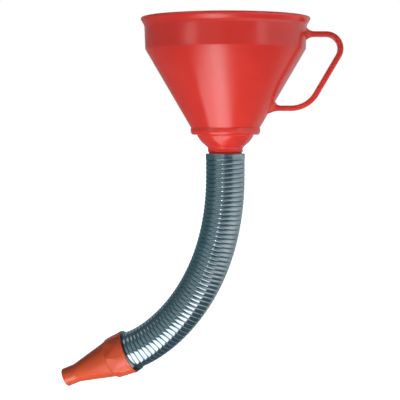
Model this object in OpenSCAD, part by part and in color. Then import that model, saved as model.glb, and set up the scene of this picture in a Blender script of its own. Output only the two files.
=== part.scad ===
// Fluid funnel with a lift-out strainer, a strap handle and a flexible
// strip-wound metal spout that ends in a tapered outlet nozzle.
// Millimetres. +Z is the bowl's axis, pointing up out of the mouth, the origin
// is the centre of the rim's top plane, +X points at the handle and the spout
// bends towards -X.

/* [Bowl] */
// Outer radius of the rim lip
rim_r = 79.5; // [79:0.5:84]
// Height of the rim lip
rim_h = 5; // [4:0.5:7]
// Outer radius of the collar at its lower edge
collar_r = 75.25; // [75:0.25:76.5]
// Depth of the collar below the rim
collar_h = 29.5; // [28:0.5:33]
// Outer radius at the foot of the cone
cone_r = 32.4; // [32:0.1:33.5]
// Depth of the foot of the cone below the rim
cone_z = 103; // [98:0.5:103.5]
// Wall thickness of the bowl
wall = 2; // [1.6:0.1:2.4]

/* [Strainer seat and neck] */
// Depth of the ledge that the strainer rests on
seat_z = 107.2; // [106.8:0.1:108]
// Radius of the hole through the ledge
seat_hole_r = 24.2; // [23:0.1:25]
// Outer radius of the neck above the spout
neck_r = 16.6; // [16.4:0.05:16.7]
// Radius of the bore through the neck
neck_bore_r = 14.3; // [13:0.1:14.8]
// Depth of the end of the neck inside the spout
neck_end_z = 148.5; // [144:0.5:149]

/* [Strainer] */
// Outer radius of the strainer ring
strainer_r = 30.2; // [29.6:0.05:30.3]
// Height of the strainer ring
strainer_h = 3.8; // [3:0.1:4.5]
// Pitch of the gauze openings
gauze_pitch = 2.8; // [2.4:0.1:4]
// Width of one gauze opening
gauze_hole = 2.1; // [1.6:0.1:2.2]

/* [Handle] */
// Thickness of the handle strap
strap_t = 4.9; // [3.5:0.1:5.5]
// Width of the handle strap
strap_w = 13; // [9:0.5:18]
// Depth of the upper bar's centre line below the rim
strap_top_z = 15.4; // [14:0.1:18]
// Depth of the lower bar's centre line below the rim
strap_low_z = 84.7; // [82:0.1:88]
// Centre-line radius of the upper corner
strap_top_r = 13.6; // [9:0.1:14]
// Centre-line radius of the lower corner
strap_low_r = 27.5; // [20:0.5:32]
// Lean of the grip from the upright
strap_lean = 30.4; // [26:0.1:33]
// Distance of the upper corner's centre from the bowl's axis
strap_reach = 94.2; // [93:0.1:100]

/* [Flexible spout] */
// Outer radius of the wound strip
hose_r = 18.35; // [18.2:0.05:18.4]
// Pitch of the wound strip
strip_pitch = 4.215; // [4.1:0.005:4.3]
// Depth of the first bending place below the rim
first_joint_z = 152.5; // [151:0.1:155]
// Bend of the first link at rest, degrees
bend_first = 2.8; // [0.5:0.1:3.5]
// Bend that the links grow to at rest, degrees
bend_mid = 5; // [3:0.1:5.5]
// How the bend grows from the first link on
bend_power = 1.2; // [0.5:0.05:1.5]
// Extra bend near the outlet at rest, degrees
bend_end = 2.6; // [0:0.1:2.7]
// Distance from the last bending place to the mouth of the outlet
tail = 10.5; // [10.2:0.1:13]
// Turn of the spout about the bowl's axis at rest, degrees
spout_turn = 11.5; // [-30:0.5:30]

/* [Outlet nozzle] */
// Outer radius of the collar's mouth
outlet_r = 21.2; // [20.6:0.1:22]
// Length of the collar
outlet_collar = 19; // [16:0.5:21]
// Length of the nozzle from mouth to tip
outlet_len = 70.5; // [62:0.5:78]
// Outer radius of the tip
tip_r = 8.95; // [8.6:0.05:9.5]
// Radius of the tip's bore
tip_bore_r = 7.4; // [6.6:0.05:7.6]
// Length of the straight tip
tip_len = 12.8; // [10:0.1:15]

/* [Hidden] */
$fn = 96;
joints = 16;
turns = 3;
bend_more = 0.15;
link_len = turns * strip_pitch;
hose_in_r = 16.6;
sleeve_r = 17.15;
sleeve_in_r = 16.7;
sleeve_up = 2.6;
skirt = 2.6;
skirt_bore_r = 17.55;
skirt_flare = 0.4;
skirt_room = 5.4;
groove = 0.35;
shoulder_clear = 0.3;
cap_top_z = 127.2;
cap_h = 5.8;
cap_lip = 0.8;
snap_z = 139;
socket_d = 9.6;
socket_r = 18.45;
ferrule_w = 1.4;
tab_x = 9;
tab_slope = 0.39;

// slope of the cone's side, and what its wall measures straight across
cone_slope = (collar_r - cone_r) / (cone_z - collar_h);
cone_wall = wall * sqrt(1 + cone_slope * cone_slope);
function cone_out(d) = collar_r - cone_slope * (d - collar_h);
function cone_in(d) = cone_out(d) - cone_wall;
collar_in = collar_r - wall + 0.4;
collar_in_d = collar_h - (collar_in - cone_in(collar_h)) / cone_slope;
skirt_in = strainer_r + 0.5;
skirt_in_d = collar_h + (cone_in(collar_h) - skirt_in) / cone_slope;

// bend of link i at rest, the turn after it, and where its bending place lies
function bend(i) = bend_first + (bend_mid - bend_first) * pow(i / (joints - 1), bend_power)
                 + bend_end * pow(i / (joints - 1), 8);
function turn(i) = i < 0 ? 0 : bend(i) + turn(i - 1);
function jx(i) = i <= 0 ? 0 : jx(i - 1) - link_len * sin(turn(i - 1));
function jz(i) = i <= 0 ? -first_joint_z : jz(i - 1) - link_len * cos(turn(i - 1));
function bend_most(i) = bend(i) * (1 + bend_more);
function gap(i) = hose_r * sin(bend_most(i) / 2) + shoulder_clear;

module after_joint(i) { rotate([0, 0, -spout_turn]) translate([jx(i), 0, jz(i)]) rotate([0, turn(i), 0]) children(); }

// ---------------------------------------------------------------- bowl

// outer outline of the bowl from the rim down to the end of the neck
bowl_outer = [
  [rim_r - 1.1, 0], [rim_r - 0.3, -0.3], [rim_r, -1],
  [rim_r - 0.1, -0.34 * rim_h], [rim_r - 0.5, -0.56 * rim_h],
  [collar_r + 1.4, -rim_h - 1.5], [collar_r + 0.8, -rim_h - 3.8],
  [collar_r, -collar_h], [cone_r, -cone_z],
  [cone_r + 0.3, -cone_z - 0.2], [cone_r + 0.3, -seat_z - 1.6], [cone_r - 0.4, -seat_z - 2.3],
  [seat_hole_r + 2.2, -seat_z - 2.3], [seat_hole_r + 1.9, -seat_z - 4],
  [neck_r + 2.6, -119.4], [neck_r + 0.9, -120.9], [neck_r + 0.1, -121.6],
  [neck_r - 0.4, -123], [neck_r - 0.1, -124.4], [neck_r - 0.1, -125.6], [neck_r - 0.3, -126.2],
  [16.3, -126.8], [16.3, -snap_z + 1.4], [16.95, -snap_z + 0.3], [16.95, -snap_z - 0.3],
  [16.3, -snap_z - 1.4], [16.3, -neck_end_z + 1.2], [15.6, -neck_end_z]
];
// inner outline, from the end of the neck up to the rim
bowl_inner = [
  [neck_bore_r, -neck_end_z], [neck_bore_r, -122.6], [neck_bore_r + 2.4, -120.4],
  [seat_hole_r - 0.5, -seat_z - 4.2], [seat_hole_r, -seat_z - 3], [seat_hole_r, -seat_z],
  [skirt_in, -seat_z], [skirt_in, -skirt_in_d], [collar_in, -collar_in_d],
  [collar_in + 0.2, -2.2], [collar_in + 0.4, -0.8], [collar_in + 1.1, 0]
];

module funnel_bowl() {
  color([0.80, 0.20, 0.17])
    rotate_extrude($fn = 180) polygon(concat(bowl_outer, bowl_inner));
}

// solid that fills the bowl out to its outer skin, used to trim what meets it
module bowl_core() {
  rotate_extrude($fn = 180)
    polygon([[0, -4], [collar_r + 1, -4], [collar_r + 1, -rim_h - 2.5], [collar_r + 0.8, -rim_h - 3.8],
             [collar_r, -collar_h], [cone_r, -cone_z], [0, -cone_z]]);
}

// ---------------------------------------------------------------- handle

strap_c = 1.1;
top_cz = -strap_top_z - strap_top_r;
low_cz = -strap_low_z + strap_low_r;
grip_x0 = strap_reach + strap_top_r * cos(strap_lean);
grip_z0 = top_cz - strap_top_r * sin(strap_lean);
grip_z1 = low_cz - strap_low_r * sin(strap_lean);
grip_len = (grip_z0 - grip_z1) / cos(strap_lean);
grip_x1 = grip_x0 - grip_len * sin(strap_lean);
low_cx = grip_x1 - strap_low_r * cos(strap_lean);
low_x = cone_out(strap_low_z);

// extra half thickness of the strap at a distance d from the wall it grows out of
function root(d) = d < 7 ? 3.4 * pow(1 - max(d, 0) / 7, 2.5) : 0;

// stations along the strap: x, z, heading in the XZ plane, extra half thickness above and below
strap_path = concat(
  [for (d = [-3, 0, 1, 2, 3.2, 4.6, 7]) [collar_r + 0.4 + d, -strap_top_z, 0, root(d), root(d)]],
  [for (k = [0:16]) let (a = 90 - k * (90 + strap_lean) / 16)
    [strap_reach + strap_top_r * cos(a), top_cz + strap_top_r * sin(a), a - 90, 0, 0]],
  [for (k = [0:12]) let (a = -strap_lean - k * (90 - strap_lean) / 12)
    [low_cx + strap_low_r * cos(a), low_cz + strap_low_r * sin(a), a - 90, 0, 0]],
  [for (d = [7, 4.6, 3.2, 2, 1, 0, -5]) [low_x + d, -strap_low_z, -180, root(d + 2.2), root(d - 1.2)]]
);
// rounded outline of the strap across its run: half thickness to one side and the other
function strap_ring(hi, lo) = let (w = strap_w / 2) [
  [hi - strap_c, -w], [hi - 0.3 * strap_c, -w + 0.3 * strap_c], [hi, -w + strap_c],
  [hi, w - strap_c], [hi - 0.3 * strap_c, w - 0.3 * strap_c], [hi - strap_c, w],
  [-lo + strap_c, w], [-lo + 0.3 * strap_c, w - 0.3 * strap_c], [-lo, w - strap_c],
  [-lo, -w + strap_c], [-lo + 0.3 * strap_c, -w + 0.3 * strap_c], [-lo + strap_c, -w]
];
strap_rings = [for (p = strap_path) let (turned = p[2] < -150)
  [for (q = strap_ring(strap_t / 2 + (turned ? p[4] : p[3]), strap_t / 2 + (turned ? p[3] : p[4])))
    [p[0] - q[0] * sin(p[2]), q[1], p[1] + q[0] * cos(p[2])]]];

module handle() {
  n = len(strap_rings);
  m = len(strap_rings[0]);
  color([0.80, 0.20, 0.17]) difference() {
    polyhedron(points = [for (r = strap_rings) for (p = r) p],
      faces = concat([[for (j = [0:m - 1]) j]],
        [for (i = [0:n - 2]) for (j = [0:m - 1])
          [i * m + j, (i + 1) * m + j, (i + 1) * m + (j + 1) % m, i * m + (j + 1) % m]],
        [[for (j = [m - 1:-1:0]) (n - 1) * m + j]]),
      convexity = 6);
    bowl_core();
  }
}

// ---------------------------------------------------------------- strainer

gauze_z = -seat_z + 0.8;
gauze_t = 0.5;
gauze_r = strainer_r - 1.5;

module strainer_ring() {
  color([0.78, 0.62, 0.30])
    rotate_extrude($fn = 144) polygon([
      [strainer_r - 4, -seat_z], [strainer_r - 0.5, -seat_z], [strainer_r, -seat_z + 0.5],
      [strainer_r, -seat_z + strainer_h - 0.6], [strainer_r - 0.4, -seat_z + strainer_h],
      [strainer_r - 0.9, -seat_z + strainer_h - 0.1], [strainer_r - 1, -seat_z + strainer_h - 0.6],
      [strainer_r - 1, gauze_z + gauze_t + 0.8], [strainer_r - 4, gauze_z + gauze_t + 0.8],
      [strainer_r - 4, gauze_z + gauze_t], [gauze_r, gauze_z + gauze_t], [gauze_r, gauze_z],
      [strainer_r - 4, gauze_z]
    ]);
}

module strainer_gauze() {
  open_r = strainer_r - 4;
  n = floor(open_r / gauze_pitch);
  color([0.72, 0.60, 0.34])
    translate([0, 0, gauze_z]) linear_extrude(gauze_t) difference() {
      circle(r = gauze_r, $fn = 144);
      for (i = [-n:n]) for (j = [-n:n])
        if (norm([abs(i) * gauze_pitch + gauze_hole / 2, abs(j) * gauze_pitch + gauze_hole / 2]) < open_r)
          translate([i * gauze_pitch, j * gauze_pitch]) square(gauze_hole, center = true);
    }
}

// ---------------------------------------------------------------- spout

module spout_top_ferrule() {
  color([0.45, 0.50, 0.53])
    rotate_extrude() polygon([
      [16.75, -cap_top_z], [hose_r - 0.35, -cap_top_z], [hose_r + 0.15, -cap_top_z - 0.5],
      [hose_r + 0.15, -cap_top_z - cap_h + 0.4], [hose_r - 0.1, -cap_top_z - cap_h],
      [hose_r - 0.6, -cap_top_z - cap_h], [hose_r - 0.6, -cap_top_z - cap_lip], [16.75, -cap_top_z - cap_lip]
    ]);
}

// outline of the turns of strip between two depths measured from the upper joint
function turn_outline(z0, z1) = [
  for (k = [floor(z0 / strip_pitch) : ceil(z1 / strip_pitch)])
    for (q = [[0.5, -groove], [0.8, 0], [strip_pitch - 0.8, 0], [strip_pitch - 0.5, -groove]])
      let (d = k * strip_pitch + q[0]) if (d > z0 + 0.05 && d < z1 - 0.05) [hose_r + q[1], -d]
];

// a half space that keeps what lies below (or above) a plane tilted about Y
module below(d, a) { rotate([0, a, 0]) translate([-40, -40, -d - 120]) cube([80, 80, 120]); }
module above(d, a) { rotate([0, a, 0]) translate([-40, -40, -d]) cube([80, 80, 120]); }

// the sleeve that reaches up into the link before
module sleeve() {
  rotate_extrude() polygon([
    [sleeve_in_r, sleeve_up], [sleeve_r - 0.3, sleeve_up], [sleeve_r, sleeve_up - 0.5],
    [sleeve_r, -6.4], [sleeve_in_r, -6.4]]);
}

// one rigid length of strip after joint i: a sleeve above, a skirt below whose
// bore flares so that the next sleeve can lean in it
module spout_link(i) {
  color([0.55, 0.60, 0.62]) after_joint(i) union() {
    intersection() {
      rotate_extrude() polygon(concat(
        [[hose_in_r, -1.5], [hose_r - groove, -1.5]],
        turn_outline(1.5, link_len + skirt + 1.5),
        [[hose_r - groove, -link_len - skirt - 1.5], [skirt_bore_r + skirt_flare, -link_len - skirt - 1.5],
         [skirt_bore_r + skirt_flare, -link_len - 1.9], [skirt_bore_r, -link_len + 0.8],
         [skirt_bore_r, -link_len + skirt_room], [hose_in_r, -link_len + skirt_room]]));
      below(skirt + gap(i), -bend_most(i) / 4);
      translate([0, 0, -link_len]) above(skirt, bend_most(i + 1) / 4);
    }
    sleeve();
  }
}

// the first length, straight on the neck, with a groove for the neck's bead
module spout_link_01() {
  top = cap_top_z + cap_lip - first_joint_z;
  color([0.55, 0.60, 0.62]) rotate([0, 0, -spout_turn]) translate([0, 0, -first_joint_z]) intersection() {
    rotate_extrude() polygon(concat(
      [[hose_in_r, -top], [hose_r - 0.65, -top],
       [hose_r - 0.65, -top - cap_h + cap_lip - 0.1], [hose_r - groove, -top - cap_h + cap_lip - 0.1]],
      turn_outline(top + cap_h - cap_lip + 0.1, skirt + 1.5),
      [[hose_r - groove, -skirt - 1.5], [skirt_bore_r + skirt_flare, -skirt - 1.5],
       [skirt_bore_r + skirt_flare, -1.9], [skirt_bore_r, 0.8], [skirt_bore_r, skirt_room],
       [hose_in_r, skirt_room],
       [hose_in_r, first_joint_z - snap_z - 2.4], [17.3, first_joint_z - snap_z - 1.7],
       [17.3, first_joint_z - snap_z + 1.7], [hose_in_r, first_joint_z - snap_z + 2.4]]));
    above(skirt, bend_most(0) / 4);
  }
}

// the last length, which ends inside the nozzle's collar
module spout_link_17() {
  i = joints - 1;
  end = tail + socket_d;
  color([0.55, 0.60, 0.62]) after_joint(i) union() {
    intersection() {
      rotate_extrude() polygon(concat(
        [[hose_in_r, -1.5], [hose_r, -1.5]],
        [[hose_r, -end], [hose_in_r, -end]]));
      below(skirt + gap(i), -bend_most(i) / 4);
    }
    sleeve();
  }
}

// the end ring: thin, with a tab that stands out of the nozzle on the outer side of the bend
module spout_end_ferrule() {
  color([0.42, 0.46, 0.48]) after_joint(joints - 1) translate([0, 0, -tail]) difference() {
    rotate_extrude() polygon([
      [socket_r, 0], [outlet_r - 0.8, 0], [outlet_r - 0.6, 0.5], [outlet_r - 0.6, 0.9], [outlet_r - 1, 3.4],
      [outlet_r - 1.6, 5], [outlet_r - 2.1, 6.2], [socket_r, 6.2]
    ]);
    rotate([90, 0, 0]) linear_extrude(80, center = true) polygon([
      [tab_x, ferrule_w], [-40, ferrule_w], [-40, 12], [tab_x + (12 - ferrule_w) / tab_slope, 12]
    ]);
  }
}

// ---------------------------------------------------------------- outlet nozzle

flat_lean = 12.3;
cone_start = outlet_collar + 2.4;
tip_start = outlet_len - tip_len;

module outlet_nozzle() {
  color([0.84, 0.32, 0.18]) after_joint(joints - 1) translate([0, 0, -tail]) difference() {
    rotate_extrude($fn = 120) polygon([
      [socket_r, 0], [outlet_r - 0.6, 0], [outlet_r, -0.6], [outlet_r - 0.05, -3],
      [outlet_r - 1.5, -outlet_collar + 0.4], [outlet_r - 1.8, -outlet_collar - 0.4],
      [outlet_r - 3.4, -outlet_collar - 1.8], [outlet_r - 3.6, -cone_start],
      [tip_r + 0.15, -tip_start + 0.5], [tip_r, -tip_start - 0.5],
      [tip_r, -outlet_len + 0.6], [tip_r - 0.5, -outlet_len],
      [tip_bore_r, -outlet_len], [tip_bore_r, -tip_start],
      [15.2, -cone_start], [16.2, -socket_d], [socket_r, -socket_d]
    ]);
    // eight flats that run out towards the mouth
    for (k = [0:7]) rotate([0, 0, -78 + 45 * k]) translate([outlet_r - 2.9, 0, -outlet_collar - 0.5])
      rotate([0, flat_lean, 0]) translate([0, -30, -5]) cube([20, 60, 26]);
  }
}

funnel_bowl();
handle();
strainer_ring();
strainer_gauze();
spout_top_ferrule();
spout_link_01();
spout_link(0);  // spout_link_02
spout_link(1);  // spout_link_03
spout_link(2);  // spout_link_04
spout_link(3);  // spout_link_05
spout_link(4);  // spout_link_06
spout_link(5);  // spout_link_07
spout_link(6);  // spout_link_08
spout_link(7);  // spout_link_09
spout_link(8);  // spout_link_10
spout_link(9);  // spout_link_11
spout_link(10);  // spout_link_12
spout_link(11);  // spout_link_13
spout_link(12);  // spout_link_14
spout_link(13);  // spout_link_15
spout_link(14);  // spout_link_16
spout_link_17();
spout_end_ferrule();
outlet_nozzle();
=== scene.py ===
import math

import bmesh
import bpy
import numpy as np
from mathutils import Matrix, Vector


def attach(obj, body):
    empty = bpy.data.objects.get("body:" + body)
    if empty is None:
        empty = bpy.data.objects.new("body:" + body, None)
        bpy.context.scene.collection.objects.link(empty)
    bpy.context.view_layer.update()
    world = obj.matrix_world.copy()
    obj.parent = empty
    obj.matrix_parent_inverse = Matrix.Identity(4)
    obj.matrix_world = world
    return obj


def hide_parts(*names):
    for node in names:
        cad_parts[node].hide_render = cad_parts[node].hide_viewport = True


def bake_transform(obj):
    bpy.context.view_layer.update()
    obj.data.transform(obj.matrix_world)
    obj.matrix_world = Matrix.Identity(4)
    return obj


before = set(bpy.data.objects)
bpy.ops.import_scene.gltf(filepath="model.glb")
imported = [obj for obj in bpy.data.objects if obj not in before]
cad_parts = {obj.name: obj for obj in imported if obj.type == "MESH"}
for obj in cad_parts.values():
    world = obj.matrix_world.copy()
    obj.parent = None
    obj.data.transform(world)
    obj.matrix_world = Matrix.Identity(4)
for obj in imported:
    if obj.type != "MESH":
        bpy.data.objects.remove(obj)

MM = 0.001
scene = bpy.context.scene
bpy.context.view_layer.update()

# ------------------------------------------------------------------ sizes, mm, as in the part's source
RIM_R, COLLAR_R, CONE_R = 79.5, 75.25, 32.4
COLLAR_Z, CONE_Z, SEAT_Z = -29.5, -103.0, -107.2
PITCH = 4.215
JOINTS = 16
LINK = 3 * PITCH
FIRST_Z = -152.5
TAIL = 10.5
TURN = math.radians(-11.5)
HOSE_R, HOSE_IN = 18.35, 16.62
BEND = [2.8 + 2.2 * (i / 15) ** 1.2 + 2.6 * (i / 15) ** 8 for i in range(JOINTS)]
TURNED = np.cumsum(BEND)

# ------------------------------------------------------------------ mesh helpers


def make(name, verts, faces, mat, sharp=None, uv=None):
    """A closed mesh from points in mm, with outward normals and smooth shading."""
    me = bpy.data.meshes.new(name)
    me.from_pydata([tuple(float(c) * MM for c in v) for v in verts], [], [tuple(int(i) for i in f) for f in faces])
    if uv is not None:
        layer = me.uv_layers.new(name="strip")
        layer.data.foreach_set("uv", np.asarray(uv, np.float32).ravel())
    bm = bmesh.new()
    bm.from_mesh(me)
    bmesh.ops.recalc_face_normals(bm, faces=bm.faces)
    bm.to_mesh(me)
    bm.free()
    me.polygons.foreach_set("use_smooth", [True] * len(me.polygons))
    if sharp is not None:
        me.set_sharp_from_angle(angle=math.radians(sharp))
    me.materials.append(mat)
    ob = bpy.data.objects.new(name, me)
    scene.collection.objects.link(ob)
    return ob


def outline(points, step=10.0):
    """A closed outline of (r, z, fillet) points with its corners rounded, and a point close to each
    end of a fillet so that the flats between them stay flat when shaded."""
    out = []
    n = len(points)
    for i, (r, z, f) in enumerate(points):
        p = np.array([r, z], float)
        a = np.array(points[i - 1][:2], float) - p
        b = np.array(points[(i + 1) % n][:2], float) - p
        la, lb = np.linalg.norm(a), np.linalg.norm(b)
        a, b = a / la, b / lb
        ang = math.acos(max(-1.0, min(1.0, float(a @ b))))
        if f <= 0 or ang > math.pi - 0.01:
            out.append(p)
            continue
        t = min(f / math.tan(ang / 2), 0.44 * la, 0.44 * lb)
        f = t * math.tan(ang / 2)
        c = p + (a + b) / np.linalg.norm(a + b) * f / math.sin(ang / 2)
        q0, q1 = p + a * t - c, p + b * t - c
        a0, a1 = math.atan2(q0[1], q0[0]), math.atan2(q1[1], q1[0])
        d = (a1 - a0 + math.pi) % (2 * math.pi) - math.pi
        k = max(3, int(math.ceil(abs(math.degrees(d)) / step)))
        out.append(p + a * min(t * 1.25 + 0.08, 0.48 * la))
        for j in range(k + 1):
            w = a0 + d * j / k
            out.append(c + f * np.array([math.cos(w), math.sin(w)]))
        out.append(p + b * min(t * 1.25 + 0.08, 0.48 * lb))
    return np.array(out)


def ring_faces(rows, cols, close_rows=True):
    """Quads of a grid that is closed round its columns, and round its rows too if asked."""
    faces = []
    for i in range(rows if close_rows else rows - 1):
        k = (i + 1) % rows
        for j in range(cols):
            m = (j + 1) % cols
            faces.append((i * cols + j, i * cols + m, k * cols + m, k * cols + j))
    return faces


def lathe(name, prof, cols, mat, place=None, start=0.0, shape=None):
    """A closed outline turned round its axis. shape(r, z, angle) may change the radius."""
    prof = np.asarray(prof, float)
    ang = start + np.arange(cols) * 2 * math.pi / cols
    r = np.repeat(prof[:, :1], cols, 1)
    if shape is not None:
        r = shape(r, np.repeat(prof[:, 1:2], cols, 1), np.repeat(ang[None, :], len(prof), 0))
    v = np.stack([r * np.cos(ang), r * np.sin(ang), np.repeat(prof[:, 1:2], cols, 1)], -1).reshape(-1, 3)
    if place is not None:
        m = np.array(place)
        v = v @ m[:3, :3].T + m[:3, 3]
    return make(name, v, ring_faces(len(prof), cols), mat)


# ------------------------------------------------------------------ materials


class Nodes:
    """A Principled material with its node tree."""

    def __init__(self, name):
        self.mat = bpy.data.materials.new(name)
        self.mat.use_nodes = True
        self.tree = self.mat.node_tree
        self.bsdf = self.tree.nodes["Principled BSDF"]

    def add(self, kind, **props):
        n = self.tree.nodes.new(kind)
        for k, v in props.items():
            setattr(n, k, v)
        return n

    def link(self, a, b):
        self.tree.links.new(a, b)

    def set(self, **values):
        for k, v in values.items():
            self.bsdf.inputs[k.replace("_", " ")].default_value = v

    def coords(self, scale=(1, 1, 1), uv=None):
        m = self.add("ShaderNodeMapping")
        m.inputs["Scale"].default_value = scale
        if uv:
            u = self.add("ShaderNodeUVMap", uv_map=uv)
            self.link(u.outputs["UV"], m.inputs["Vector"])
        else:
            t = self.add("ShaderNodeTexCoord")
            self.link(t.outputs["Object"], m.inputs["Vector"])
        return m.outputs["Vector"]

    def noise(self, vec, scale, detail=3.0, rough=0.5, distort=0.0):
        n = self.add("ShaderNodeTexNoise")
        n.inputs["Scale"].default_value = scale
        n.inputs["Detail"].default_value = detail
        n.inputs["Roughness"].default_value = rough
        n.inputs["Distortion"].default_value = distort
        self.link(vec, n.inputs["Vector"])
        return n.outputs["Fac"]

    def ramp(self, fac, stops):
        n = self.add("ShaderNodeValToRGB")
        e = n.color_ramp.elements
        while len(e) < len(stops):
            e.new(0.5)
        for s, (pos, col) in zip(e, stops):
            s.position = pos
            s.color = (col[0], col[1], col[2], 1.0) if hasattr(col, "__len__") else (col, col, col, 1.0)
        self.link(fac, n.inputs["Fac"])
        return n.outputs["Color"]

    def mix(self, fac, a, b, mode="MIX"):
        n = self.add("ShaderNodeMix", data_type="RGBA", blend_type=mode)
        for sock, val in ((n.inputs[0], fac), (n.inputs[6], a), (n.inputs[7], b)):
            if hasattr(val, "links"):
                self.link(val, sock)
            else:
                sock.default_value = val
        return n.outputs[2]

    def math(self, op, a, b, c=None):
        n = self.add("ShaderNodeMath", operation=op)
        for k, v in enumerate((a, b, c)):
            if v is None:
                continue
            if hasattr(v, "links"):
                self.link(v, n.inputs[k])
            else:
                n.inputs[k].default_value = v
        return n.outputs[0]

    def remap(self, fac, lo, hi, a=0.25, b=0.75):
        n = self.add("ShaderNodeMapRange")
        n.inputs["From Min"].default_value = a
        n.inputs["From Max"].default_value = b
        n.inputs["To Min"].default_value = lo
        n.inputs["To Max"].default_value = hi
        self.link(fac, n.inputs["Value"])
        return n.outputs["Result"]

    def bump(self, height, strength, distance, normal=None):
        n = self.add("ShaderNodeBump")
        n.inputs["Strength"].default_value = strength
        n.inputs["Distance"].default_value = distance
        self.link(height, n.inputs["Height"])
        if normal is not None:
            self.link(normal, n.inputs["Normal"])
        return n.outputs["Normal"]


def moulded(name, dark, mid, light, rough, gloss):
    """Semi-gloss moulded polyethylene: slow colour drift, flow streaks, fine orange peel, a few rub marks."""
    m = Nodes(name)
    p = m.coords()
    drift = m.noise(p, 22.0, 2.0)
    flow = m.noise(m.coords((70.0, 70.0, 9.0)), 1.0, 4.0, 0.6)
    base = m.ramp(drift, ((0.30, dark), (0.52, mid), (0.74, light)))
    streak = m.ramp(flow, ((0.3, 0.97), (0.7, 1.0)))
    m.link(m.mix(1.0, base, streak, "MULTIPLY"), m.bsdf.inputs["Base Color"])
    rub = m.noise(m.coords((260.0, 260.0, 900.0)), 1.0, 3.0, 0.7)
    smear = m.noise(p, 45.0, 3.0)
    r = m.remap(smear, rough - 0.02, rough + 0.03)
    m.link(m.math("ADD", r, m.remap(rub, 0.0, 0.03, 0.55, 0.85)), m.bsdf.inputs["Roughness"])
    peel = m.noise(p, 1500.0, 2.0, 0.45)
    wave = m.noise(p, 38.0, 1.0)
    n = m.bump(wave, 0.04, 0.003)
    n = m.bump(peel, 0.10, 0.00006, n)
    m.link(n, m.bsdf.inputs["Normal"])
    m.set(Specular_IOR_Level=gloss, IOR=1.5, Subsurface_Weight=0.12, Subsurface_Scale=0.0025)
    m.bsdf.inputs["Subsurface Radius"].default_value = (1.0, 0.18, 0.12)
    return m.mat


def steel_strip(name):
    """Galvanised wound strip: rolling lines along the strip, zinc spangle, and painted shade that darkens the seam
    grooves and the inside wall.
    """
    m = Nodes(name)
    lines = m.noise(m.coords((0.25, 9.0, 1.0), "strip"), 1.0, 4.0, 0.62)
    patch = m.noise(m.coords((0.055, 0.16, 1.0), "strip"), 1.0, 3.0, 0.55)
    vor = m.add("ShaderNodeTexVoronoi", feature="F1")
    vor.inputs["Scale"].default_value = 0.42
    m.link(m.coords((1.0, 1.6, 1.0), "strip"), vor.inputs["Vector"])
    base = m.ramp(lines, ((0.25, (0.40, 0.45, 0.47)), (0.55, (0.51, 0.55, 0.57)), (0.8, (0.59, 0.615, 0.625))))
    tone = m.ramp(patch, ((0.32, (0.74, 0.80, 0.84)), (0.68, (1.0, 1.0, 1.0))))
    base = m.mix(1.0, base, tone, "MULTIPLY")
    # painted shade: the 'seam' attribute mixes the base colour towards near-black in the grooves and on the inside
    # wall, where shade falls
    seam = m.add("ShaderNodeAttribute", attribute_name="seam")
    base = m.mix(seam.outputs["Fac"], base, (0.035, 0.055, 0.065, 1.0))
    m.link(base, m.bsdf.inputs["Base Color"])
    r = m.remap(lines, 0.07, 0.14)
    r = m.math("ADD", r, m.remap(vor.outputs["Distance"], -0.02, 0.05, 0.1, 0.9))
    m.link(m.math("MULTIPLY_ADD", seam.outputs["Fac"], 0.3, r), m.bsdf.inputs["Roughness"])
    n = m.bump(patch, 0.10, 0.0006)
    n = m.bump(lines, 0.10, 0.00006, n)
    m.link(n, m.bsdf.inputs["Normal"])
    m.set(Metallic=1.0)
    return m.mat


def steel_band(name, tint):
    """Rolled steel band: turning lines round the axis, a little tarnish."""
    m = Nodes(name)
    p = m.coords()
    lines = m.noise(m.coords((60.0, 60.0, 2600.0)), 1.0, 3.0, 0.6)
    stain = m.noise(p, 130.0, 4.0, 0.6)
    base = m.ramp(stain, ((0.3, tuple(0.55 * c for c in tint)), (0.55, tint), (0.8, tuple(min(1.0, 1.18 * c) for c in tint))))
    m.link(base, m.bsdf.inputs["Base Color"])
    m.link(m.math("ADD", m.remap(lines, 0.09, 0.17), m.remap(stain, 0.0, 0.06)), m.bsdf.inputs["Roughness"])
    n = m.bump(stain, 0.06, 0.0004)
    n = m.bump(lines, 0.12, 0.00005, n)
    m.link(n, m.bsdf.inputs["Normal"])
    m.set(Metallic=1.0)
    return m.mat


def brass(name, tint):
    """Pressed or drawn brass with a slight tarnish."""
    m = Nodes(name)
    p = m.coords()
    stain = m.noise(p, 160.0, 4.0, 0.6)
    fine = m.noise(p, 1800.0, 2.0)
    base = m.ramp(stain, ((0.3, tuple(0.6 * c for c in tint)), (0.55, tint), (0.8, tuple(min(1.0, 1.15 * c) for c in tint))))
    m.link(base, m.bsdf.inputs["Base Color"])
    m.link(m.remap(stain, 0.2, 0.38), m.bsdf.inputs["Roughness"])
    m.link(m.bump(fine, 0.12, 0.00006), m.bsdf.inputs["Normal"])
    m.set(Metallic=1.0)
    return m.mat


RED = moulded("bowl_red", (0.620, 0.026, 0.016), (0.645, 0.030, 0.018), (0.670, 0.036, 0.021), 0.20, 0.75)
ORANGE = moulded("nozzle_orange", (0.620, 0.064, 0.019), (0.680, 0.080, 0.022), (0.720, 0.098, 0.026), 0.24, 0.45)
STRIP = steel_strip("spout_strip")
BAND = steel_band("ferrule_band", (0.47, 0.52, 0.55))
# the end band's near-black tint is painted shade, standing in for the shadow gap between the nozzle's mouth and the
# spout
END_BAND_SHADE = steel_band("end_ring", (0.17, 0.185, 0.20))
BRASS = brass("strainer_ring_brass", (0.70, 0.50, 0.20))
WIRE = brass("strainer_wire_brass", (0.66, 0.50, 0.24))

# ------------------------------------------------------------------ bowl

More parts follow.
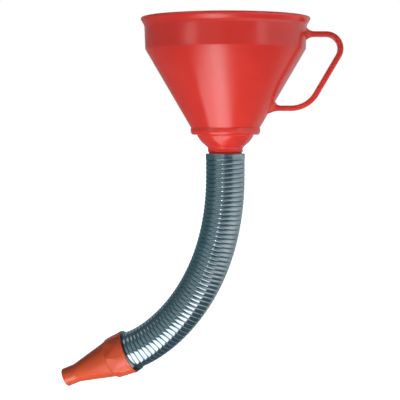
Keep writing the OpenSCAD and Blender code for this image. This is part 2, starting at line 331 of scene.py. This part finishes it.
bowl_pts = [
    (78.9, 0.0, 0.7), (79.5, -1.3, 0.9), (79.0, -2.8, 1.2), (76.65, -6.5, 1.8), (76.05, -8.8, 2.4),
    (75.25, -29.5, 0.5), (32.35, -103.0, 0.5), (32.75, -103.35, 0.25), (32.75, -107.3, 4.0), (31.1, -109.5, 1.6),
    (26.6, -109.5, 0.5), (26.2, -110.8, 2.0), (25.0, -112.9, 7.0), (23.45, -115.0, 7.0), (21.5, -117.1, 7.0),
    (19.3, -119.2, 3.0), (16.75, -121.5, 0.9),
    (16.25, -123.0, 0.7), (16.55, -124.2, 0.4), (16.55, -125.2, 0.35), (16.0, -125.8, 0.3), (15.5, -126.6, 0.4),
    (15.5, -128.0, 0.4), (16.3, -129.0, 0.3), (16.3, -137.6, 0.4), (16.95, -138.7, 0.3), (16.95, -139.3, 0.3), (16.3, -140.4, 0.4),
    (16.3, -147.4, 0.5), (15.6, -148.5, 0.4), (14.3, -148.5, 0.4), (14.3, -122.6, 2.0),
    (16.7, -120.4, 1.2), (23.7, -111.4, 1.0), (24.2, -110.2, 0.6), (24.2, -107.2, 0.3),
    (30.7, -107.2, 0.4), (30.7, -102.3, 1.5), (73.65, -28.3, 1.5), (73.85, -2.2, 0.8), (74.5, 0.0, 0.6),
]
bowl = lathe("bowl_shell", outline(bowl_pts, 9.0), 288, RED)
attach(bowl, "bowl")
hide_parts("funnel_bowl")

# ------------------------------------------------------------------ handle


def collar_x(y, z):
    r = 76.1 + (75.25 - 76.1) * (np.clip(z, -29.5, -8.6) + 8.6) / (-29.5 + 8.6)
    return np.sqrt(np.maximum(r * r - y * y, 1.0))


def cone_x(y, z):
    r = COLLAR_R + (CONE_R - COLLAR_R) * (z - COLLAR_Z) / (CONE_Z - COLLAR_Z)
    return np.sqrt(np.maximum(r * r - y * y, 1.0))


def strap():
    lean = math.radians(30.4)
    top_z, low_z, r_top, r_low, reach = -15.4, -84.7, 13.6, 27.5, 94.2
    half_t, half_w, corner = 2.45, 6.5, 1.45
    top_cz, low_cz = top_z - r_top, low_z + r_low
    gx0, gz0 = reach + r_top * math.cos(lean), top_cz - r_top * math.sin(lean)
    gz1 = low_cz - r_low * math.sin(lean)
    glen = (gz0 - gz1) / math.cos(lean)
    gx1 = gx0 - glen * math.sin(lean)
    low_cx = gx1 - r_low * math.cos(lean)
    root_x0, root_x1 = 75.85, float(cone_x(0.0, low_z))
    # stations: x, z, heading, distance to the upper wall, distance to the lower wall
    st = []
    for d in (-1.2, -0.6, 0.0, 0.35, 0.75, 1.2, 1.7, 2.3, 3.0, 3.8, 4.8, 6.0, 7.5, 9.5, 12.0, 15.0):
        st.append((root_x0 + d, top_z, 0.0, d, 99.0))
    for k in range(33):
        a = math.pi / 2 - k * (math.pi / 2 + lean) / 32
        st.append((reach + r_top * math.cos(a), top_cz + r_top * math.sin(a), a - math.pi / 2, 99.0, 99.0))
    for k in range(1, 16):
        t = k / 16
        st.append((gx0 + (gx1 - gx0) * t, gz0 + (gz1 - gz0) * t, -lean - math.pi / 2, 99.0, 99.0))
    for k in range(31):
        a = -lean - k * (math.pi / 2 - lean) / 30
        st.append((low_cx + r_low * math.cos(a), low_cz + r_low * math.sin(a), a - math.pi / 2, 99.0, 99.0))
    span = low_cx - root_x1
    for d in (14.0, 11.5, 9.5, 7.8, 6.4, 5.2, 4.2, 3.4, 2.7, 2.1, 1.6, 1.1, 0.7, 0.3, 0.0, -0.6, -1.3):
        if d < span - 0.3:
            st.append((root_x1 + d, low_z, -math.pi, 99.0, d))

    def flare(d, size, length, power=2.6):
        return size * max(0.0, 1 - max(d, 0.0) / length) ** power if d < length else 0.0

    # outline across the strap, as (side of thickness, side of width) with rounded corners
    ring = []
    for sx, sy, a0 in ((1, 1, 0), (-1, 1, 90), (-1, -1, 180), (1, -1, 270)):
        for k in range(7):
            a = math.radians(a0 + 15 * k)
            ring.append((sx, sy, math.cos(a), math.sin(a)))
    # flats get points of their own so that they stay flat
    cross = []
    m = len(ring)
    for i in range(m):
        cross.append(ring[i])
        nxt = ring[(i + 1) % m]
        if (ring[i][0], ring[i][1]) != (nxt[0], nxt[1]):
            for w in (0.08, 0.3, 0.5, 0.7, 0.92):
                cross.append((ring[i], nxt, w))
    verts = []
    for x, z, h, d0, d1 in st:
        ext_u = flare(d0, 3.2, 8.0) + flare(d1 - 2.0, 3.0, 8.0)
        ext_l = flare(d0, 3.2, 8.0) + flare(d1 + 1.4, 4.2, 9.5)
        ext_w = flare(min(d0, d1), 2.6, 6.5)
        w = half_w + ext_w
        row = []

        def corner_at(c):
            sx, sy, ca, sa = c
            # turned stretches look the other way round, so the side under the strap changes place
            up = half_t + (ext_l if h < -2.6 else ext_u)
            lo = half_t + (ext_u if h < -2.6 else ext_l)
            hx = up if sx > 0 else lo
            return np.array([sx * (hx - corner) + corner * ca, sy * (w - corner) + corner * sa])

        for c in cross:
            if len(c) == 3:
                q = corner_at(c[0]) * (1 - c[2]) + corner_at(c[1]) * c[2]
                # a slight crown on the flats, as a moulded strap has
                bulge = 0.10 * 4 * c[2] * (1 - c[2])
                if c[0][0] == c[1][0]:
                    q[0] += bulge * c[0][0]
                else:
                    q[1] += 0.5 * bulge * c[0][1]
            else:
                q = corner_at(c)
            px, py, pz = x - q[0] * math.sin(h), q[1], z + q[0] * math.cos(h)
            if d0 < 20.0:
                k = max(0.0, 1 - max(d0, 0.0) / 12.0) ** 2
                px += k * (float(collar_x(py, pz)) - root_x0)
            if d1 < 20.0:
                k = max(0.0, 1 - max(d1, 0.0) / 12.0) ** 2
                px += k * (float(cone_x(py, pz)) - root_x1)
            row.append((px, py, pz))
        verts.append(row)
    n, m = len(verts), len(cross)
    flat = [p for row in verts for p in row]
    faces = ring_faces(n, m, close_rows=False)
    faces.append(tuple(range(m)))
    faces.append(tuple((n - 1) * m + j for j in reversed(range(m))))
    return make("handle_strap", flat, faces, RED, sharp=60)


handle = strap()
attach(handle, "bowl")
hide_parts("handle")

# ------------------------------------------------------------------ strainer

ring_pts = [
    (26.2, -107.2, 0.2), (29.7, -107.2, 0.45), (30.2, -106.7, 0.3), (30.2, -103.9, 0.35), (29.75, -103.42, 0.3),
    (29.25, -103.6, 0.2), (29.2, -105.0, 0.3), (26.6, -105.1, 0.3), (26.2, -105.4, 0.2), (26.2, -105.9, 0.1),
    (28.7, -105.9, 0.1), (28.7, -106.4, 0.1), (26.2, -106.4, 0.1),
]
sring = lathe("strainer_rim", outline(ring_pts, 14.0), 144, BRASS)
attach(sring, "strainer")
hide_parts("strainer_ring")


def gauze():
    pitch, rad, reach, zc, sides = 1.4, 0.16, 28.3, -106.15, 6
    verts, faces = [], []
    count = int(reach / pitch)
    for way in (0, 1):
        for i in range(-count, count + 1):
            c = (i + 0.5) * pitch
            if abs(c) >= reach - 1.0:
                continue
            half = math.sqrt(reach * reach - c * c)
            steps = max(8, int(round(2 * half / (pitch / 4))))
            first = len(verts)
            for k in range(steps + 1):
                s = -half + 2 * half * k / steps
                lift = 0.115 * math.cos(math.pi * (s / pitch + i + way))
                slope = -0.115 * math.pi / pitch * math.sin(math.pi * (s / pitch + i + way))
                ln = math.hypot(1.0, slope)
                for j in range(sides):
                    a = 2 * math.pi * (j + 0.5) / sides
                    side, up = rad * math.cos(a), rad * math.sin(a)
                    along = s - up * slope / ln
                    height = zc + lift * 0.55 + up / ln * 0.55
                    verts.append((along, c + side, height) if way == 0 else (c + side, along, height))
            for k in range(steps):
                for j in range(sides):
                    m = (j + 1) % sides
                    faces.append((first + k * sides + j, first + k * sides + m, first + (k + 1) * sides + m, first + (k + 1) * sides + j))
            faces.append(tuple(first + j for j in reversed(range(sides))))
            faces.append(tuple(first + steps * sides + j for j in range(sides)))
    return make("strainer_weave", verts, faces, WIRE, sharp=70)


weave = gauze()
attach(weave, "strainer")
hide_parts("strainer_gauze")

# ------------------------------------------------------------------ spout: its centre line

S_TOP = -128.0                       # where the wound strip starts, under the upper band
s_joint = [S_TOP - FIRST_Z + LINK * i for i in range(JOINTS)]
s_mouth = s_joint[-1] + TAIL
knots = [0.0, s_joint[0] - LINK / 2] + [s + LINK / 2 for s in s_joint]
# the strip bends a little later than the chain's hinges do, and ends at the same angle
late = np.array([2.14 + 2.62 * (i / 15) ** 0.54 + 2.53 * (i / 15) ** 8 for i in range(JOINTS)])
late = np.cumsum(late * TURNED[-1] / late.sum())
turns = [0.0, 0.0] + [math.radians(t) for t in late]
knots[-1] = s_joint[-1] + 5.2
knots += [s_joint[-1] + 26.0]
turns += [turns[-1]]


def smooth_curve(xs, ys, x):
    """A smooth rising curve through the points, with no overshoot."""
    xs, ys = np.array(xs), np.array(ys)
    h, d = np.diff(xs), np.diff(ys) / np.diff(xs)
    m = np.zeros(len(xs))
    for i in range(1, len(xs) - 1):
        if d[i - 1] * d[i] > 0:
            w1, w2 = 2 * h[i] + h[i - 1], h[i] + 2 * h[i - 1]
            m[i] = (w1 + w2) / (w1 / d[i - 1] + w2 / d[i])
    k = np.clip(np.searchsorted(xs, x, side="right") - 1, 0, len(xs) - 2)
    t = (x - xs[k]) / h[k]
    return ((1 + 2 * t) * (1 - t) ** 2 * ys[k] + t * (1 - t) ** 2 * h[k] * m[k]
            + t * t * (3 - 2 * t) * ys[k + 1] + t * t * (t - 1) * h[k] * m[k + 1])


fine_s = np.arange(-1.0, s_joint[-1] + 25.0, 0.05)
fine_t = smooth_curve(knots, turns, np.clip(fine_s, 0, None))
mid_t = (fine_t[1:] + fine_t[:-1]) / 2
fine_x = np.concatenate([[0.0], np.cumsum(-np.sin(mid_t) * 0.05)])
fine_z = np.concatenate([[0.0], np.cumsum(-np.cos(mid_t) * 0.05)]) + S_TOP + 1.0
# the curve's end lies on the line of the last length of the chain
jx, jz, acc = 0.0, FIRST_Z, 0.0
chain = [(jx, jz)]
for i in range(JOINTS):
    acc = math.radians(TURNED[i])
    step = LINK if i < JOINTS - 1 else TAIL
    jx, jz = jx - step * math.sin(acc), jz - step * math.cos(acc)
    chain.append((jx, jz))
ex = np.interp(s_mouth, fine_s, fine_x) - chain[-1][0]
ez = np.interp(s_mouth, fine_s, fine_z) - chain[-1][1]
ease = np.clip((fine_s - s_joint[0]) / (s_mouth - s_joint[0]), 0, None)
fine_x = fine_x - ex * ease
fine_z = fine_z - ez * ease
COS, SIN = math.cos(TURN), math.sin(TURN)


def at(s, v, r):
    """Points on the spout at length s, angle v round it and radius r. v is 0 on the far side."""
    x, z, t = (np.interp(s, fine_s, f) for f in (fine_x, fine_z, fine_t))
    a = math.pi / 2 + v
    out, side = r * np.cos(a), r * np.sin(a)
    px, pz = x + out * np.cos(t), z - out * np.sin(t)
    return np.stack([px * COS - side * SIN, px * SIN + side * COS, pz], -1)


outlet_place = (Matrix.Rotation(TURN, 4, "Z") @ Matrix.Translation((chain[-2][0], 0, chain[-2][1]))
                @ Matrix.Rotation(math.radians(TURNED[-1]), 4, "Y") @ Matrix.Translation((0, 0, -TAIL)))

# ------------------------------------------------------------------ spout: the wound strip

# one turn of strip, from seam to seam: share of the pitch, height over the crest's edge
TURN_T = np.array([0.0, 0.032, 0.056, 0.074, 0.092, 0.118, 0.165, 0.235, 0.330, 0.430, 0.550, 0.660, 0.755, 0.830, 0.880, 0.906, 0.930, 0.965])
TURN_H = np.array([-0.44, -0.42, -0.335, -0.235, -0.165, -0.117, -0.074, -0.032, 0.012, 0.036, 0.036, 0.020, -0.010, -0.045, -0.074, -0.125, -0.26, -0.41])
NS = len(TURN_T)
NV = 108


def strip_piece(name, u0, rows):
    """A closed length of wound strip that starts at seam u0. Its edge follows the helix, so the end
    of one row is the start of the row one turn on."""
    i = np.arange(rows + 1)
    u = u0 + PITCH * (i // NS + TURN_T[i % NS])
    h = TURN_H[i % NS]
    v = np.arange(NV + 1) * 2 * math.pi / NV
    U, V = np.meshgrid(u, v, indexing="ij")
    S = U + PITCH * (1 - V / (2 * math.pi))
    cover = np.clip((S - 4.7) / 0.7, 0, 1)
    R = HOSE_R - 0.035 + np.repeat(h[:, None], NV + 1, 1)
    R = R * cover + np.minimum(R, 17.62) * (1 - cover)
    RI = HOSE_IN + 0.12 + 0.28 * np.clip(np.repeat(h[:, None], NV + 1, 1) + 0.5, -0.4, 0.4)
    outer, inner = at(S, V, R), at(S, V, RI)
    ids = -np.ones((rows + 1, NV + 1), int)
    verts = []
    seam = []
    for a in range(rows + 1):
        for b in range(NV):
            ids[a, b] = len(verts)
            verts.append(outer[a, b])
            seam.append(h[a])
    for a in range(min(NS, rows + 1)):
        ids[a, NV] = len(verts)
        verts.append(outer[a, NV])
        seam.append(h[a])
    for a in range(NS, rows + 1):
        ids[a, NV] = ids[a - NS, 0]
    count = len(verts)
    verts_in = [None] * count
    for a in range(rows + 1):
        for b in range(NV + 1):
            if b < NV or a < NS:
                verts_in[ids[a, b]] = inner[a, b]
    faces, uv = [], []

    def corner(a, b):
        return (V[a, b] * HOSE_R, U[a, b])

    for a in range(rows):
        for b in range(NV):
            quad = ((a, b), (a, b + 1), (a + 1, b + 1), (a + 1, b))
            faces.append(tuple(ids[q] for q in quad))
            uv += [corner(*q) for q in quad]
    for a in range(rows):
        for b in range(NV):
            quad = ((a + 1, b), (a + 1, b + 1), (a, b + 1), (a, b))
            faces.append(tuple(count + ids[q] for q in quad))
            uv += [corner(*q) for q in quad]
    start = [(0, b) for b in range(NV)] + [(a, NV) for a in range(NS)]
    end = [(rows, b) for b in range(NV)] + [(a, 0) for a in range(rows - NS, rows)]
    for loop in (start, end):
        for k in range(len(loop)):
            p, q = loop[k], loop[(k + 1) % len(loop)]
            if ids[p] == ids[q]:
                continue
            faces.append((ids[p], ids[q], count + ids[q], count + ids[p]))
            uv += [corner(*p), corner(*q), corner(*q), corner(*p)]
    ob = make(name, verts + verts_in, faces, STRIP, sharp=66, uv=uv)
    # painted shade: vertices deep in a seam groove get up to 0.6 of the near-black mix, and the whole inner wall gets
    # 0.35
    dark = 0.6 * np.clip((-0.12 - np.array(seam)) / 0.28, 0, 1)
    dark = np.concatenate([dark, np.full(count, 0.35)])
    ob.data.attributes.new("seam", "FLOAT", "POINT").data.foreach_set("value", dark.astype(np.float32))
    return ob


u_first = s_joint[0] - 2 * PITCH
top = strip_piece("strip_turns_00", u_first - 4 * PITCH, 4 * NS)
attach(top, "spout_top")
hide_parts("spout_link_01")
for i in range(JOINTS):
    ob = strip_piece("strip_turns_%02d" % (i + 1), s_joint[i] - 2 * PITCH, 3 * NS)
    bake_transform(ob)
    if i < JOINTS - 1:
        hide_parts("spout_link_%02d" % (i + 2))
last_u = s_joint[-1] + PITCH
last = strip_piece("strip_turns_17", last_u, int((s_mouth + 9.2 - PITCH - last_u) / PITCH * NS))
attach(last, "outlet")
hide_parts("spout_link_17")

# ------------------------------------------------------------------ bands at the spout's ends

cap_pts = [
    (16.75, -127.2, 0.2), (18.1, -127.2, 0.45), (18.5, -127.7, 0.3), (18.5, -128.9, 0.2), (18.42, -129.3, 0.3),
    (18.42, -131.6, 0.3), (18.5, -132.0, 0.25), (18.5, -132.75, 0.22), (18.3, -133.0, 0.2), (17.75, -133.0, 0.15),
    (17.75, -128.0, 0.2), (16.75, -128.0, 0.2),
]
cap = lathe("top_band", outline(cap_pts, 12.0), 144, BAND)
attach(cap, "spout_top")
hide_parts("spout_top_ferrule")


def end_ring():
    # thin, with a rounded tab that stands out of the nozzle on the outer side of the bend
    cols = 200
    ang = np.arange(cols) * 2 * math.pi / cols
    rows = []
    for a in ang:
        rise = 0.39 * (19.8 * math.cos(a) - 9.0)
        back = 0.95 + 0.35 * math.log1p(math.exp(min((rise + 0.5) / 0.35, 60.0)))
        prof = [(18.45, 0.0), (20.30, 0.0), (20.48, 0.08), (20.58, 0.24), (20.60, 0.42)]
        for k in range(7):
            h = 0.45 + (back - 0.4 - 0.45) * k / 6
            prof.append((float(np.interp(h, (0.9, 3.4, 5.0, 6.2), (20.6, 20.2, 19.6, 19.1))), h))
        r = prof[-1][0]
        prof += [(r - 0.07, back - 0.24), (r - 0.20, back - 0.09), (r - 0.38, back - 0.01), (18.62, back), (18.45, back - 0.15)]
        rows.append(prof)
    prof = np.array(rows)
    n = prof.shape[1]
    v = np.stack([prof[:, :, 0] * np.cos(ang)[:, None], prof[:, :, 0] * np.sin(ang)[:, None], prof[:, :, 1]], -1).reshape(-1, 3)
    m = np.array(outlet_place)
    v = v @ m[:3, :3].T + m[:3, 3]
    return make("end_band", v, ring_faces(cols, n), END_BAND_SHADE)


endr = end_ring()
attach(endr, "outlet")
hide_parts("spout_end_ferrule")

# ------------------------------------------------------------------ outlet nozzle

noz_pts = [
    (18.45, 0.0, 0.15), (20.75, 0.0, 0.45), (21.2, 0.55, 0.4), (21.2, 2.75, 0.35), (20.88, 3.05, 0.3),
    (19.72, 18.6, 0.6), (19.35, 19.4, 0.6), (17.85, 20.9, 0.8), (17.6, 21.4, 0.5),
    (9.15, 56.7, 1.4), (8.95, 57.6, 1.2), (8.95, 70.0, 0.35), (8.5, 70.5, 0.3), (7.4, 70.5, 0.35), (7.4, 57.2, 2.0),
    (15.2, 21.4, 1.5), (16.2, 9.6, 0.3), (18.45, 9.6, 0.3),
]


def dense(prof, lo, hi, step):
    """More rows on the outside between two depths, where the flats are cut."""
    out = []
    n = len(prof)
    for i in range(n):
        a, b = prof[i], prof[(i + 1) % n]
        out.append(a)
        if a[1] >= lo - 0.1 and b[1] <= hi + 0.1 and b[1] > a[1] and a[0] > 16.9 and b[1] - a[1] > step * 1.5:
            k = int((b[1] - a[1]) / step)
            for j in range(1, k + 1):
                out.append(a + (b - a) * j / (k + 1))
    return np.array(out)


def flats(r, z, ang):
    """Eight flats round the collar, leaning so that they run out towards the mouth."""
    s = -z
    apothem = 18.3 + math.tan(math.radians(12.3)) * (19.5 - s)
    w = (ang - math.radians(-78.0) + math.pi / 8) % (math.pi / 4) - math.pi / 8
    plane = apothem / np.cos(w)
    k = 0.07
    low = -k * np.logaddexp(-r / k, -plane / k)
    on = (r > 16.9) & (s > 3.2) & (s < 21.2)
    return np.where(on, np.minimum(r, low), r)


noz = dense(outline(noz_pts, 10.0), 3.0, 21.5, 0.5)
noz[:, 1] *= -1
nozzle = lathe("nozzle_body", noz, 240, ORANGE, place=outlet_place,
               start=math.radians(-78.0 + 22.5), shape=flats)
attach(nozzle, "outlet")
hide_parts("outlet_nozzle")

# ------------------------------------------------------------------ stage: floor, lights, camera

# lower than the spout reaches when it hangs straight
low_z = (FIRST_Z - (JOINTS - 1) * LINK - TAIL - 75.0) * MM
floor_mesh = bpy.data.meshes.new("floor")
span, cells = 30.0, 12
grid = [(-span + 2 * span * i / cells, -span + 2 * span * j / cells, low_z) for i in range(cells + 1) for j in range(cells + 1)]
floor_mesh.from_pydata(grid, [], [(i * (cells + 1) + j, (i + 1) * (cells + 1) + j, (i + 1) * (cells + 1) + j + 1, i * (cells + 1) + j + 1)
                                  for i in range(cells) for j in range(cells)])
fm = Nodes("floor_pale")
tone = fm.ramp(fm.noise(fm.coords(), 4.0, 3.0), ((0.3, (0.90, 0.90, 0.90)), (0.7, (0.93, 0.93, 0.93))))
fm.link(tone, fm.bsdf.inputs["Base Color"])
fm.set(Roughness=0.9, Specular_IOR_Level=0.1, Emission_Color=(1, 1, 1, 1), Emission_Strength=1.0)
floor_mesh.materials.append(fm.mat)
floor = bpy.data.objects.new("floor", floor_mesh)
scene.collection.objects.link(floor)
floor.visible_glossy = False
floor.visible_diffuse = False
floor.visible_shadow = False

world = bpy.data.worlds.new("studio")
scene.world = world
world.use_nodes = True
wt = world.node_tree
wt.nodes.clear()
w_out = wt.nodes.new("ShaderNodeOutputWorld")
w_mix = wt.nodes.new("ShaderNodeMixShader")
w_path = wt.nodes.new("ShaderNodeLightPath")
w_env = wt.nodes.new("ShaderNodeBackground")
w_white = wt.nodes.new("ShaderNodeBackground")
w_white.inputs["Color"].default_value = (1, 1, 1, 1)
w_white.inputs["Strength"].default_value = 1.0
w_dir = wt.nodes.new("ShaderNodeTexCoord")
w_sep = wt.nodes.new("ShaderNodeSeparateXYZ")


def w_stops(stops):
    n = wt.nodes.new("ShaderNodeValToRGB")
    e = n.color_ramp.elements
    while len(e) < len(stops):
        e.new(0.5)
    for s, (pos, col) in zip(e, stops):
        s.position = pos
        s.color = (*col, 1.0) if hasattr(col, "__len__") else (col, col, col, 1.0)
    return n


def w_math(op, a, b):
    n = wt.nodes.new("ShaderNodeMath")
    n.operation = op
    for k, v in enumerate((a, b)):
        if hasattr(v, "links"):
            wt.links.new(v, n.inputs[k])
        else:
            n.inputs[k].default_value = v
    return n.outputs[0]


# the studio round the object: dark teal, a grey wall on the right, a lighter strip front left
wt.links.new(w_dir.outputs["Generated"], w_sep.inputs["Vector"])
w_turn = w_math("ARCTAN2", w_sep.outputs["X"], w_math("MULTIPLY", w_sep.outputs["Y"], -1.0))
w_turn = w_math("MULTIPLY_ADD", w_turn, 1 / (2 * math.pi))
w_turn.node.inputs[2].default_value = 0.5
w_round = w_stops(((0.0, (0.30, 0.36, 0.38)), (0.083, (0.07, 0.12, 0.14)), (0.29, (0.075, 0.145, 0.165)), (0.333, (0.19, 0.28, 0.30)),
                   (0.405, (0.22, 0.31, 0.33)), (0.475, (0.20, 0.29, 0.315)), (0.495, (0.060, 0.110, 0.138)), (0.600, (0.068, 0.122, 0.150)),
                   (0.645, (0.36, 0.43, 0.46)), (0.805, (0.42, 0.49, 0.51)), (0.917, (0.33, 0.39, 0.41)), (1.0, (0.30, 0.36, 0.38))))
wt.links.new(w_turn, w_round.inputs["Fac"])
w_low = w_stops(((0.0, (0.30, 0.36, 0.38)), (0.083, (0.07, 0.12, 0.14)), (0.29, (0.075, 0.145, 0.165)), (0.36, (0.11, 0.18, 0.20)),
                 (0.45, (0.14, 0.21, 0.23)), (0.53, (0.30, 0.37, 0.39)), (0.60, (0.55, 0.61, 0.63)), (0.70, (0.68, 0.74, 0.75)),
                 (0.805, (0.38, 0.43, 0.45)), (0.917, (0.30, 0.36, 0.38)), (1.0, (0.30, 0.36, 0.38))))
wt.links.new(w_turn, w_low.inputs["Fac"])
w_high = w_stops(((0.0, 0.0), (0.19, 0.0), (0.265, 1.0), (0.62, 1.0), (0.70, 0.68), (0.765, 0.24), (0.85, 0.22), (1.0, 0.2)))
w_lift = w_math("MULTIPLY_ADD", w_sep.outputs["Z"], 0.5)
w_lift.node.inputs[2].default_value = 0.5
wt.links.new(w_lift, w_high.inputs["Fac"])
w_col = wt.nodes.new("ShaderNodeMix")
w_col.data_type = "RGBA"
w_near = w_stops(((0.0, 0.0), (0.41, 0.0), (0.465, 1.0), (1.0, 1.0)))
wt.links.new(w_lift, w_near.inputs["Fac"])
w_two = wt.nodes.new("ShaderNodeMix")
w_two.data_type = "RGBA"
wt.links.new(w_near.outputs["Color"], w_two.inputs[0])
wt.links.new(w_low.outputs["Color"], w_two.inputs[6])
wt.links.new(w_round.outputs["Color"], w_two.inputs[7])
wt.links.new(w_high.outputs["Color"], w_col.inputs[0])
w_col.inputs[6].default_value = (0.060, 0.105, 0.130, 1.0)
wt.links.new(w_two.outputs[2], w_col.inputs[7])
wt.links.new(w_col.outputs[2], w_env.inputs["Color"])
w_env.inputs["Strength"].default_value = 1.25
wt.links.new(w_path.outputs["Is Camera Ray"], w_mix.inputs["Fac"])
wt.links.new(w_env.outputs[0], w_mix.inputs[1])
wt.links.new(w_white.outputs[0], w_mix.inputs[2])
wt.links.new(w_mix.outputs[0], w_out.inputs["Surface"])


def panel(name, pos, target, size, power, color=(1, 1, 1), glossy=True, diffuse=True):
    d = bpy.data.lights.new(name, "AREA")
    d.shape = "RECTANGLE"
    d.size, d.size_y = size
    d.energy = power
    d.color = color
    ob = bpy.data.objects.new(name, d)
    scene.collection.objects.link(ob)
    ob.location = pos
    aim = Vector(target) - Vector(pos)
    ob.rotation_euler = aim.to_track_quat("-Z", "Y").to_euler()
    ob.visible_camera = False
    ob.visible_glossy = glossy
    ob.visible_diffuse = diffuse
    return ob


def lamp(name, pos, target, width, power, color=(1, 1, 1)):
    d = bpy.data.lights.new(name, "SPOT")
    d.energy = power
    d.color = color
    d.spot_size = math.radians(width)
    d.spot_blend = 0.6
    d.shadow_soft_size = 0.25
    ob = bpy.data.objects.new(name, d)
    scene.collection.objects.link(ob)
    ob.location = pos
    aim = Vector(target) - Vector(pos)
    ob.rotation_euler = aim.to_track_quat("-Z", "Y").to_euler()
    ob.visible_camera = False
    ob.visible_glossy = False
    return ob


# a bright card low in front of the spout, which the cone, the ribs and the underside of the bend mirror
card = panel("card", (-0.107, -0.179, -0.42), (-0.107, -0.179, 0.0), (0.32, 0.30), 0.60, diffuse=False)
card.rotation_euler = (math.pi, 0.0, math.radians(-48.9))
# a strip further off, low on the left, which shows as a spot on each turn
strip = panel("strip", (-0.27, -0.834, -0.392), (0.0, 0.0, -0.132), (0.13, 0.15), 0.00130)
strip.data.spread = math.radians(10.0)
# a soft box behind on the left for the spout's left edge, and one overhead on the left, which the turns' upper edges,
# the rim and the nozzle's top mirror
panel("rear", (-0.53, 0.80, 0.25), (-0.10, 0.0, -0.27), (0.45, 0.45), 0.16, diffuse=False)
panel("over", (-0.52, -0.14, 0.47), (-0.03, 0.0, -0.27), (0.45, 0.5), 0.34, diffuse=False)
# soft light from below in front, a lamp on each side of the bowl and one under the nozzle, which the metal does not mirror
panel("deep", (-0.20, -0.75, -1.10), (0.0, 0.0, -0.12), (0.9, 0.7), 8.3, glossy=False)
lamp("left", (-1.1, -0.9, 0.0), (0.0, 0.0, -0.05), 15.0, 62.0)
lamp("right", (1.1, -0.9, 0.0), (0.02, 0.0, -0.05), 15.0, 72.0)
lamp("below", (-0.25, -0.55, -1.05), (-0.11, 0.0, -0.34), 18.0, 66.0, (1.0, 1.42, 1.55))
# one lamp for each side of the back and one down into the bowl
lamp("back_left", (-0.75, 1.20, -0.12), (-0.03, 0.0, -0.15), 26.0, 44.0)
lamp("back_right", (0.75, 1.20, -0.12), (-0.03, 0.0, -0.15), 26.0, 44.0)
lamp("inside", (0.0, 0.0, 1.30), (0.0, 0.0, 0.0), 6.4, 150.0)

cam_data = bpy.data.cameras.new("camera")
cam = bpy.data.objects.new("camera", cam_data)
scene.collection.objects.link(cam)
cam_data.sensor_width = 36.0
cam_data.sensor_fit = "HORIZONTAL"
cam_data.lens = 122.40
cam.location = (-0.02388, -1.2816, -0.10525)
cam.rotation_euler = (math.radians(90.0 - 2.94), 0.0, 0.0)
scene.camera = cam

scene.view_settings.view_transform = "Standard"
scene.view_settings.look = "None"
scene.view_settings.exposure = 0.0
scene.view_settings.gamma = 1.0
